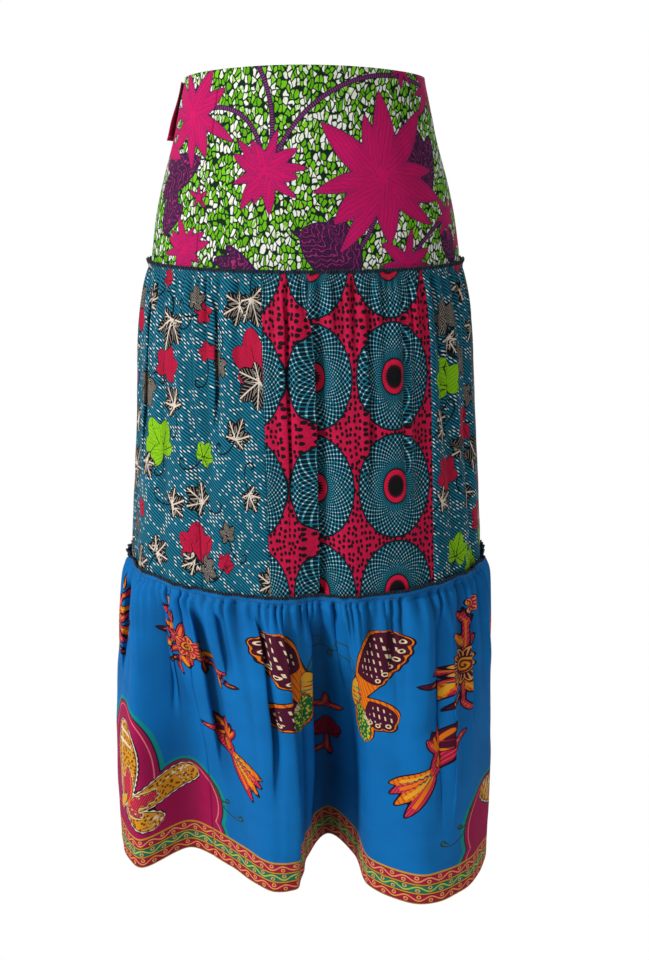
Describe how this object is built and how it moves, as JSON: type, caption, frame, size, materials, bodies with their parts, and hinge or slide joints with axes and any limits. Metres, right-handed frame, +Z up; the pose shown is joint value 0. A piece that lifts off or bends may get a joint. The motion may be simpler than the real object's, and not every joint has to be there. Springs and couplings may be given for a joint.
{
  "type": "tiered skirt",
  "caption": "Ankle-length skirt with a fitted hip yoke and two gathered tiers lapped one over the other, hollow as when worn, open at waist and hem.",
  "frame": {"origin": "centre of the waist opening, at the level of the waist edge at the sides", "axes": "+Z up the wearer, +X to the wearer's left, -Y to the front"},
  "size_m": [0.5044, 0.3627, 0.9901],
  "materials": {
    "crackle_print": "plain-weave cotton printed with magenta flowers on a green crackle ground",
    "flap_cotton": "magenta plain-weave cotton",
    "leaf_print": "plain-weave cotton printed with crimson, lime and dark leaves on a teal twill-line ground",
    "disc_print": "plain-weave cotton printed with large teal discs on a dotted crimson ground",
    "border_print": "bright blue plain-weave cotton with a crimson and teal hem border"
  },
  "bodies": {
    "root": {"yoke_front": "crackle_print", "yoke_back_right": "crackle_print", "yoke_back_left": "crackle_print", "zip_flap": "flap_cotton", "middle_front_left": "leaf_print", "middle_front_centre": "disc_print", "middle_front_right": "leaf_print", "middle_back": "leaf_print", "bottom_front": "border_print", "bottom_back": "border_print"}
  },
  "joints": []
}
